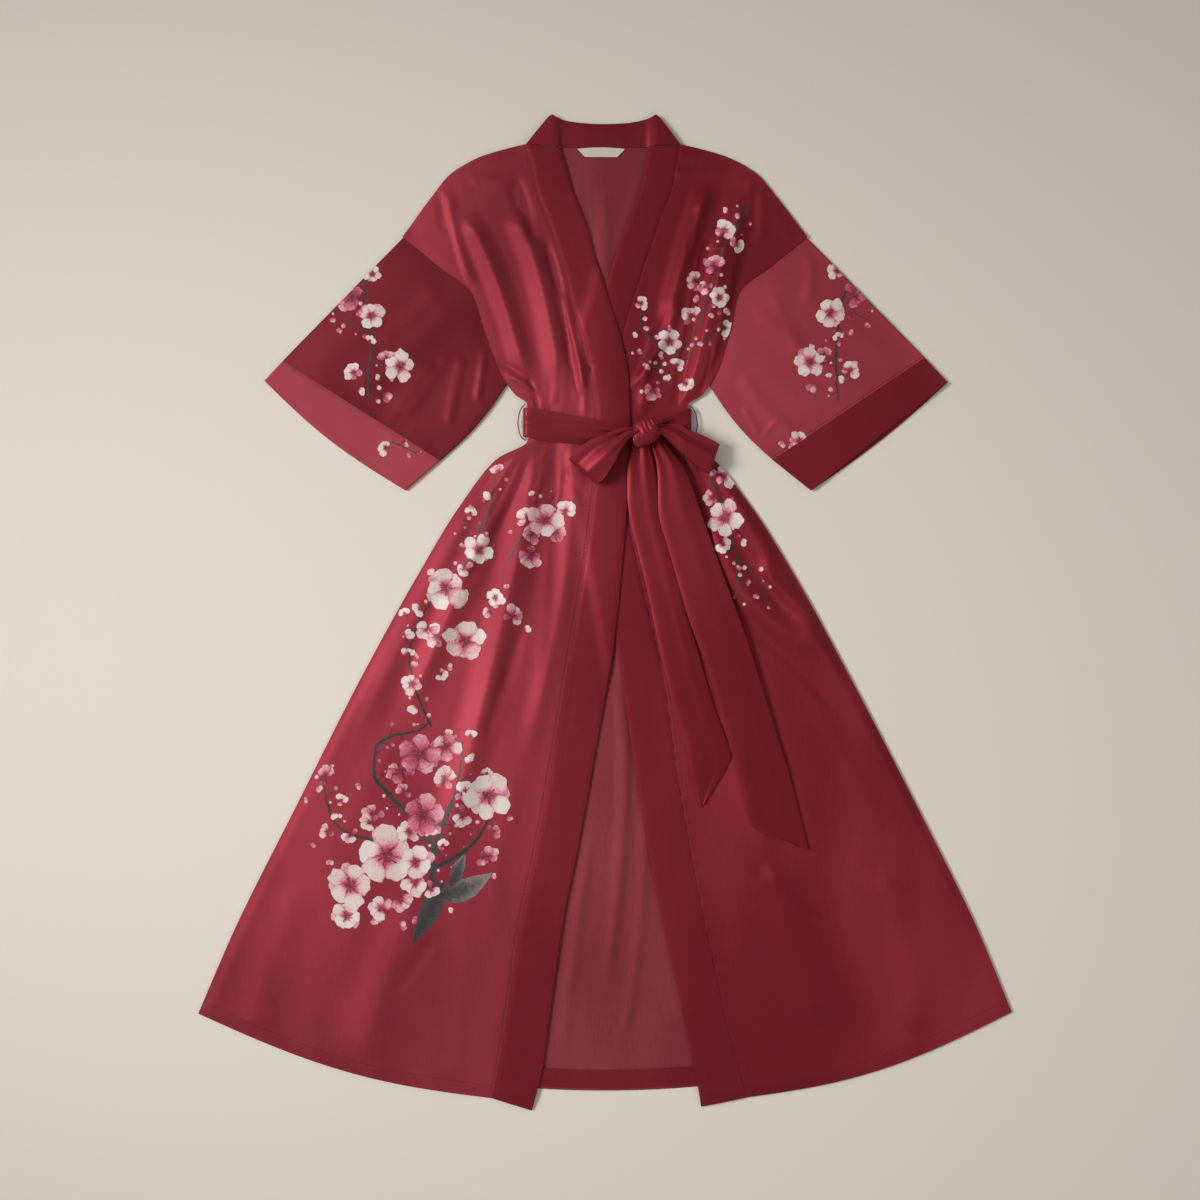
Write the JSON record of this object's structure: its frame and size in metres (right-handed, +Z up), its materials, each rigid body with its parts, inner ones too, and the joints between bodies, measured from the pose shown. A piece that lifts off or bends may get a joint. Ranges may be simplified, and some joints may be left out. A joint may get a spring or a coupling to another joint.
{
  "type": "kimono robe",
  "caption": "Satin kimono robe with wide short sleeves, laid flat, its right front wrapped over the left and tied at the waist with its own sash in a bow.",
  "frame": {"origin": "centre of the bounding box, on the table that the robe lies on", "axes": "+X across the robe towards the wearer's left sleeve, +Y from the hem to the neck, +Z up from the table, out of the robe's front"},
  "size_m": [1.058, 1.294, 0.0376],
  "materials": {
    "satin": "glossy satin with a blossom print",
    "satin_inside": "dull wrong side of the satin",
    "band_satin": "plain glossy satin",
    "label_tape": "woven tape, bare",
    "thread": "twisted thread"
  },
  "bodies": {
    "root": {"back": "satin_inside", "back_hem": "satin", "front_right": "satin", "front_left": "satin", "band_right": "band_satin", "band_left": "band_satin", "band_neck": "band_satin", "label": "label_tape", "sleeve_right": "satin", "sleeve_left": "satin", "cuff_right": "band_satin", "cuff_left": "band_satin", "sash_back": "band_satin", "sash_front_right": "band_satin", "sash_front_left": "band_satin", "tail_short": "band_satin", "tail_long": "band_satin", "bow_loop_right": "band_satin", "bow_loop_left": "band_satin", "sash_knot": "band_satin", "carrier_right": "thread", "carrier_left": "thread"}
  },
  "joints": []
}
